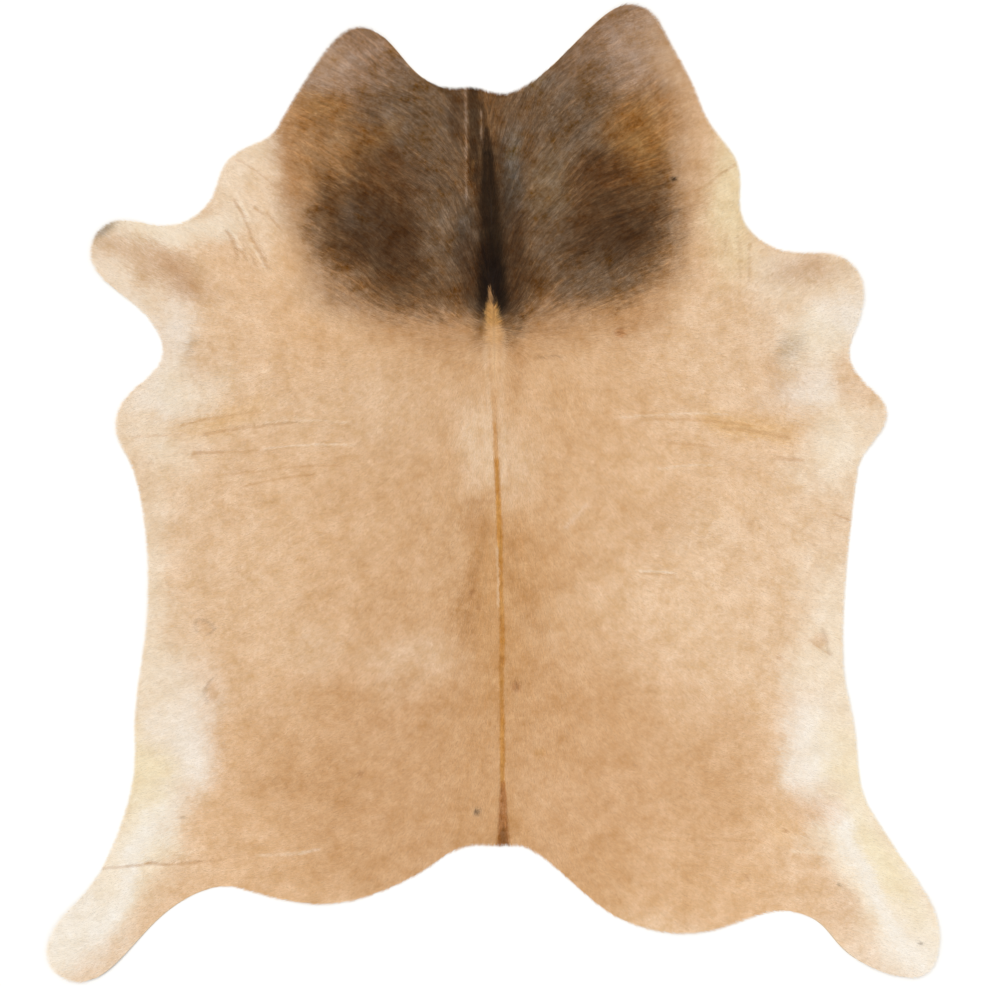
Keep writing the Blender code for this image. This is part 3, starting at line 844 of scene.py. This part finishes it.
# %% Colour attribute and flat map
def give_colour(mesh, name, colour):
    """Stores linear colours on a mesh, one for each point, with full opacity."""
    attribute = mesh.color_attributes.new(name, "FLOAT_COLOR", "POINT")
    full = np.column_stack([np.clip(colour, 0, 1), np.ones(len(colour))])
    attribute.data.foreach_set("color", full.astype(np.float32).ravel())


LIGHTNESS = np.array([0.2126, 0.7152, 0.0722])
DARK_FROM_TO = (0.42, 0.06)  # lightness at which hair begins to be dark, and is fully so


def give_unevenness(mesh, colour):
    """Stores how far the coat's mottle and painted shade swing at each point: 1 if tan, a third if nearly
    white, 3 if dark brown.
    """
    lightness = colour @ LIGHTNESS
    uneven = 1 - 0.65 * smooth(0.52, 0.75, lightness) + 2 * smooth(*DARK_FROM_TO, lightness)
    mesh.attributes.new("unevenness", "FLOAT", "POINT").data.foreach_set("value", uneven.astype(np.float32))


def give_map(mesh, places):
    """Stores one UV place for each face corner."""
    layer = mesh.uv_layers.new(name="OFBake")
    layer.uv.foreach_set("vector", places.astype(np.float32).ravel())


# Skin lies in the shade of the hair. On the map, the top takes the left half, the underside the right half
# and the rim a strip along the foot. Sizes on the map are shares of it, and MAP_SPAN is in mm.
UNDER_HAIR_SHADE = 0.82
MAP_SPAN, MAP_MARGIN = 2260, 0.01
FIELD_WIDTH, FIELD_HEIGHT, FIELD_FOOT, STRIP_HEIGHT = 0.48, 0.9, 0.08, 0.05
skin_x, skin_y = skin_points[:, 0], skin_points[:, 1]
under_hair = coat_colour(skin_x, skin_y, 0.0) * UNDER_HAIR_SHADE
give_colour(skin_mesh, "coat", under_hair)
seen = skin_points[skin_faces.ravel(), :2] / MAP_SPAN + 0.5
corner_side = np.repeat(face_side, 3)
shift = np.where(corner_side == 1, 0.5, 0.0)
skin_map = np.column_stack([seen[:, 0] * FIELD_WIDTH + MAP_MARGIN + shift,
                            seen[:, 1] * FIELD_HEIGHT + FIELD_FOOT])
ring_place = (skin_faces.ravel() % ring_size) / ring_size
ring_height = np.clip(skin_faces.ravel() // ring_size / (len(rim_rings) - 1), 0, 1)
wall_map = MAP_MARGIN + np.column_stack([(1 - 2 * MAP_MARGIN) * ring_place, STRIP_HEIGHT * ring_height])
skin_map = np.where((corner_side == 2)[:, None], wall_map, skin_map)
give_map(skin_mesh, skin_map)
print("skin map spans", skin_map.min(0).round(2), "to", skin_map.max(0).round(2))

# %% [markdown]
# ## The lying hair
#
# A cattle coat has short, stiff hairs, 10 to 25 mm long and far thinner than the camera can show, that lie
# almost flat in one direction and overlap like thatch. Single hairs would take millions of faces. So each
# piece of the coat is a small flat lock, one tapering triangle that stands for some twenty hairs. It is
# drawn 1.2 mm wide so that it can still show. Neighbours lean together, as real hairs do, into loose tufts.

# %% Roots of the locks
ROOT_STEP, ROOT_SCATTER = 2.07, 0.45
ROOT_ROOM, LEAST_ROOM = 3.2, 3.0
dice = np.random.default_rng(7)
roots = staggered_points(ROOT_STEP, ROOT_ROOM)
roots += dice.uniform(-ROOT_SCATTER, ROOT_SCATTER, roots.shape) * ROOT_STEP
roots = roots[edge_room(*roots.T) > LEAST_ROOM]
root_x, root_y = roots.T
lock_count = len(roots)
print("locks:", lock_count)

# %% Shape of the locks
# Least and most of each measure, in mm. A lock hangs over the cut edge by no more than its own HANG.
LOCK_LENGTH, LOCK_HALF_WIDTH, HANG = (11, 17), (0.45, 0.75), (3.0, 7.5)
LEAN, LEAN_SPREAD = 6.0, 0.9  # degrees over the skin
ROOT_DEPTH = 0.15


def lock_points(x, y):
    """Three corners of each lock: two at the root, across the hair's way, and the tip along it.

    The tip is one length away along the way of the hair, lifted by the lock's lean over the skin under it.
    Where a tip would hang more than a few millimetres over the cut edge, the lock is shortened to that.
    """
    tuft = 7 * noise(x, y, 7, 301) + 5 * noise(x, y, 16, 302)
    way = np.radians(dice.normal(0, 5, len(x)) + tuft)
    way_x, way_y = hair_way(x, y)
    way_x, way_y = way_x * np.cos(way) - way_y * np.sin(way), way_x * np.sin(way) + way_y * np.cos(way)
    length = dice.uniform(*LOCK_LENGTH, len(x)) * (1 + 0.12 * noise(x, y, 60, 303))
    lean = np.radians(np.clip(dice.normal(LEAN, LEAN_SPREAD, len(x)) + noise(x, y, 9, 304), 2.5, 10))
    here, beyond = edge_room(x, y), edge_room(x + way_x * length, y + way_y * length)
    hang = dice.uniform(*HANG, len(x))
    short = np.where(beyond < -hang, (here + hang) / np.maximum(here - beyond, 0.1), 1.0)
    length = length * np.clip(short, 0.3, 1.0)
    tip_x, tip_y = x + way_x * length * np.cos(lean), y + way_y * length * np.cos(lean)
    roll = np.radians(dice.normal(0, 6, len(x)))
    half = dice.uniform(*LOCK_HALF_WIDTH, len(x))
    side_x, side_y, side_z = -way_y * half * np.cos(roll), way_x * half * np.cos(roll), half * np.sin(roll)
    base = skin_height(x, y) - ROOT_DEPTH
    tip_z = skin_height(tip_x, tip_y) + length * np.sin(lean)
    right = np.stack([x - side_x, y - side_y, base - side_z], 1)
    left = np.stack([x + side_x, y + side_y, base + side_z], 1)
    return np.stack([right, np.stack([tip_x, tip_y, tip_z], 1), left], 1)


locks = lock_points(root_x, root_y)
print("tips reach up to", round(float(locks[..., 2].max()), 1), "mm and hang over by",
      round(float(-edge_room(locks[:, 1, 0], locks[:, 1, 1]).min()), 1), "mm at most")

# %% [markdown]
# ## Colour of each lock
#
# The coat's colours are not painted on: every hair has one of them, and where two meet the hairs are mixed.
# So each lock takes the colour of a place a little beside its root. That frays every border between colours
# into single hairs. Dark hair also varies more from lock to lock than pale hair, so its spread is larger.

# %% One colour a lock
# How much the colour varies on tan hair, and how much more on dark hair: from lock to lock, and in streaks.
LOCK_SPREAD, STREAK_SPREAD = (0.012, 0.2), (0.02, 0.3)
lock_colour = coat_colour(root_x, root_y, 1.0)
dark = smooth(*DARK_FROM_TO, lock_colour @ LIGHTNESS)
streak = streaks(root_x, root_y, 4.0, 40, 81)
single = (LOCK_SPREAD[0] + LOCK_SPREAD[1] * dark) * dice.normal(0, 1, lock_count)
single = single + (STREAK_SPREAD[0] + STREAK_SPREAD[1] * dark) * streak
lock_colour *= np.exp(np.clip(single, -0.8, 0.8))[:, None]
print("mean coat colour:", lock_colour.mean(0).round(3))

# %% Four pieces of coat from neck to rump, each lock paler at its tip
COAT_PIECES = ("hair_neck_and_shoulders", "hair_front_of_barrel",
               "hair_back_of_barrel", "hair_rump_and_legs")
ROOT_TONE, TIP_TONE = 0.96, 1.04
from_neck = np.array_split(np.argsort(-root_y, kind="stable"), len(COAT_PIECES))
coat = []
for name, chosen in zip(COAT_PIECES, from_neck):
    points = locks[chosen].reshape(-1, 3)
    mesh = triangle_mesh(name, points, np.arange(len(points)).reshape(-1, 3))
    tones = np.stack([lock_colour[chosen] * tone for tone in (ROOT_TONE, TIP_TONE, ROOT_TONE)], 1)
    give_colour(mesh, "coat", tones.reshape(-1, 3))
    give_unevenness(mesh, np.repeat(lock_colour[chosen], 3, axis=0))
    low, size = points[:, :2].min(0), np.ptp(points[:, :2], axis=0).max()
    give_map(mesh, (points[:, :2] - low) / size * (1 - 2 * MAP_MARGIN) + MAP_MARGIN)
    piece = bpy.data.objects.new(name, mesh)
    bpy.context.scene.collection.objects.link(piece)
    coat.append(piece)
    print(name, len(chosen), "locks")

# %% [markdown]
# ## Materials
#
# Four surfaces, four materials. Each one is built from nodes on the same idea: a colour that varies at the
# size the real thing varies, a roughness from what the surface is, and a fine bump of its fibres.

# %% A helper that adds one node
def add(tree, kind, values=None, links=None, **settings):
    """Adds a node: settings are its own options, values set its sockets, links join them to sources."""
    node = tree.nodes.new(kind)
    for name, value in settings.items():
        setattr(node, name, value)
    for name, value in (values or {}).items():
        node.inputs[name].default_value = value
    for name, source in (links or {}).items():
        tree.links.new(source, node.inputs[name])
    return node


def new_material(name):
    """An empty node material, and its tree with the output node in it."""
    material = bpy.data.materials.new(name)
    material.use_nodes = True
    tree = material.node_tree
    tree.nodes.clear()
    return material, tree, add(tree, "ShaderNodeOutputMaterial")


# %% Lying hair
# Hair is keratin, IOR 1.55, with a scaly surface. Most of its gloss is lost again between the hairs, so the
# coat as a whole has a soft low gloss and a faint sheen at low angles. Its colour is mottled at every size
# from half a hand's width, 60 mm, down to a few hairs, 4 mm: partly tone that varies, partly painted light
# and shade of the hair's lay, darker and more golden where it stands a little open, so the swing is largest
# in blue. Single hairs are 0.05 mm thick, too fine to show, so the strands that break up the gloss are drawn
# 0.7 mm apart.
MOTTLE_AND_SHADE_SWING = (0.6, 1.0, 1.7)
hair, tree, output = new_material("short lying cattle hair")
place = add(tree, "ShaderNodeTexCoord")
pigment = add(tree, "ShaderNodeAttribute", attribute_name="coat")
uneven = add(tree, "ShaderNodeAttribute", attribute_name="unevenness")
# Mottle of the coat's tone together with painted light and shade of the hair's lay.
mottle_and_shade = add(tree, "ShaderNodeTexNoise", {"Scale": 16.0, "Detail": 4.0, "Roughness": 0.9},
             {"Vector": place.outputs["Object"]})
centred = add(tree, "ShaderNodeMath", {1: 0.5}, {0: mottle_and_shade.outputs["Fac"]}, operation="SUBTRACT")
swing = add(tree, "ShaderNodeMath", {}, {0: centred.outputs[0], 1: uneven.outputs["Fac"]},
            operation="MULTIPLY")
tone = add(tree, "ShaderNodeVectorMath", {1: MOTTLE_AND_SHADE_SWING, 2: (1.0, 1.0, 1.0)}, {0: swing.outputs[0]},
           operation="MULTIPLY_ADD")
toned = add(tree, "ShaderNodeVectorMath", {}, {0: pigment.outputs["Color"], 1: tone.outputs[0]},
            operation="MULTIPLY")
strands = add(tree, "ShaderNodeTexNoise", {"Scale": 1430.0, "Detail": 1.0},
              {"Vector": place.outputs["Object"]})
rough = add(tree, "ShaderNodeMapRange", {"From Min": 0.3, "From Max": 0.7, "To Min": 0.58, "To Max": 0.72},
            {"Value": strands.outputs["Fac"]})
bump = add(tree, "ShaderNodeBump", {"Strength": 0.3, "Distance": 0.0002}, {"Height": strands.outputs["Fac"]})
shader = add(tree, "ShaderNodeBsdfPrincipled",
             {"IOR": 1.55, "Specular IOR Level": 0.06, "Sheen Weight": 0.005, "Sheen Roughness": 0.4},
             {"Base Color": toned.outputs[0], "Roughness": rough.outputs[0],
              "Normal": bump.outputs["Normal"]})
tree.links.new(shader.outputs[0], output.inputs["Surface"])
for piece in coat:
    piece.data.materials.append(hair)

# %% Skin under the hair
# The grain side of tanned skin between the hair roots: matt, with pores 1.4 mm apart, and of the coat's
# colour darkened by painted shade of the hair over it.
grain, tree, output = new_material("tanned skin under the hair")
place = add(tree, "ShaderNodeTexCoord")
pigment = add(tree, "ShaderNodeAttribute", attribute_name="coat")
pores = add(tree, "ShaderNodeTexNoise", {"Scale": 700.0, "Detail": 3.0, "Roughness": 0.55},
            {"Vector": place.outputs["Object"]})
tone = add(tree, "ShaderNodeMapRange", {"From Min": 0.3, "From Max": 0.7, "To Min": 0.8, "To Max": 1.1},
           {"Value": pores.outputs["Fac"]})
toned = add(tree, "ShaderNodeHueSaturation", {},
            {"Color": pigment.outputs["Color"], "Value": tone.outputs[0]})
bump = add(tree, "ShaderNodeBump", {"Strength": 0.6, "Distance": 0.0004}, {"Height": pores.outputs["Fac"]})
shader = add(tree, "ShaderNodeBsdfPrincipled", {"Roughness": 0.78, "IOR": 1.5, "Specular IOR Level": 0.2},
             {"Base Color": toned.outputs["Color"], "Normal": bump.outputs["Normal"]})
tree.links.new(shader.outputs[0], output.inputs["Surface"])

# %% Suede flesh side
# The shaved flesh side: pale grey-beige nap, fully matt, cloudy at hand size, with fibres under a millimetre
# long that are drawn 2 mm long so they can show.
suede, tree, output = new_material("suede flesh side, shaved")
place = add(tree, "ShaderNodeTexCoord")
cloud = add(tree, "ShaderNodeTexNoise", {"Scale": 14.0, "Detail": 4.0, "Roughness": 0.55},
            {"Vector": place.outputs["Object"]})
nap = add(tree, "ShaderNodeTexNoise", {"Scale": 480.0, "Detail": 3.0, "Roughness": 0.7},
          {"Vector": place.outputs["Object"]})
both = add(tree, "ShaderNodeMath", {1: 0.35}, {0: nap.outputs["Fac"]}, operation="MULTIPLY")
mixed = add(tree, "ShaderNodeMath", {}, {0: cloud.outputs["Fac"], 1: both.outputs[0]}, operation="ADD")
ramp = add(tree, "ShaderNodeValToRGB", {}, {"Fac": mixed.outputs[0]})
ramp.color_ramp.elements[0].position, ramp.color_ramp.elements[1].position = 0.45, 0.9
ramp.color_ramp.elements[0].color = (*linear("A99C8B"), 1)
ramp.color_ramp.elements[1].color = (*linear("D3C9B9"), 1)
bump = add(tree, "ShaderNodeBump", {"Strength": 0.7, "Distance": 0.0005}, {"Height": nap.outputs["Fac"]})
shader = add(tree, "ShaderNodeBsdfPrincipled",
             {"Roughness": 0.95, "IOR": 1.5, "Sheen Weight": 0.25, "Sheen Roughness": 0.6},
             {"Base Color": ramp.outputs["Color"], "Normal": bump.outputs["Normal"]})
tree.links.new(shader.outputs[0], output.inputs["Surface"])

# %% Raw cut edge
# The cut shows the tanned fibres end on: pale tan with darker flecks about a millimetre long, dry and rough.
cut, tree, output = new_material("raw cut edge of tanned skin")
place = add(tree, "ShaderNodeTexCoord")
fibres = add(tree, "ShaderNodeTexNoise", {"Scale": 900.0, "Detail": 4.0, "Roughness": 0.65},
             {"Vector": place.outputs["Object"]})
ramp = add(tree, "ShaderNodeValToRGB", {}, {"Fac": fibres.outputs["Fac"]})
ramp.color_ramp.elements[0].position, ramp.color_ramp.elements[1].position = 0.35, 0.65
ramp.color_ramp.elements[0].color = (*linear("A78A66"), 1)
ramp.color_ramp.elements[1].color = (*linear("D2BB98"), 1)
bump = add(tree, "ShaderNodeBump", {"Strength": 0.8, "Distance": 0.0004}, {"Height": fibres.outputs["Fac"]})
shader = add(tree, "ShaderNodeBsdfPrincipled", {"Roughness": 0.9, "IOR": 1.5},
             {"Base Color": ramp.outputs["Color"], "Normal": bump.outputs["Normal"]})
tree.links.new(shader.outputs[0], output.inputs["Surface"])
for material in (grain, suede, cut):
    skin_mesh.materials.append(material)
print("materials:", [material.name for material in (hair, grain, suede, cut)])

# %% [markdown]
# ## How the pieces belong to the part
#
# The skin stands for the solid `hide`. The four pieces of coat go with it, and all of them move with the
# part's only body.

# %% Tie the pieces to the frame
for piece in [skin] + coat:
    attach(piece, "root")
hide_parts("hide")

# %% [markdown]
# ## Floor and light
#
# The hide was photographed on plain white with light from all sides. A wide white floor and an evenly
# bright sky give that. One far lamp, almost overhead and 35 degrees wide, adds just enough side to show the
# folds. The floor lies half a millimetre under the hide, so that the two never share one plane.

# %% Floor
floor_mesh = bpy.data.meshes.new("floor")
REACH, LEVEL = 80.0, -0.0005
SIGNS = ((-1, -1), (1, -1), (1, 1), (-1, 1))
corners = [(side_x * REACH, side_y * REACH, LEVEL) for side_x, side_y in SIGNS]
floor_mesh.from_pydata(corners, [], [(0, 1, 2, 3)])
floor = bpy.data.objects.new("floor", floor_mesh)
bpy.context.scene.collection.objects.link(floor)
paint, tree, output = new_material("white floor paint, matt")
shader = add(tree, "ShaderNodeBsdfPrincipled", {"Base Color": (*linear("E6E5E3"), 1), "Roughness": 0.9})
tree.links.new(shader.outputs[0], output.inputs["Surface"])
floor_mesh.materials.append(paint)

# %% Sky and lamp
SKY_STRENGTH, LAMP_STRENGTH, LAMP_WIDTH = 0.95, 1.4, 35
sky = bpy.data.worlds.new("even studio light")
sky.use_nodes = True
sky.node_tree.nodes["Background"].inputs["Color"].default_value = (1.0, 1.0, 1.0, 1.0)
sky.node_tree.nodes["Background"].inputs["Strength"].default_value = SKY_STRENGTH
bpy.context.scene.world = sky
lamp_light = bpy.data.lights.new("far wide lamp", "SUN")
lamp_light.energy, lamp_light.angle = LAMP_STRENGTH, math.radians(LAMP_WIDTH)
lamp = bpy.data.objects.new("far wide lamp", lamp_light)
lamp.location = (-1.6, 2.2, 6.0)
bpy.context.scene.collection.objects.link(lamp)
turn_to_hide = (-lamp.location).to_track_quat("-Z", "Y")
lamp.rotation_euler = turn_to_hide.to_euler()
bpy.context.scene.view_settings.view_transform = "Standard"
print("lamp at", [round(c, 1) for c in lamp.location])
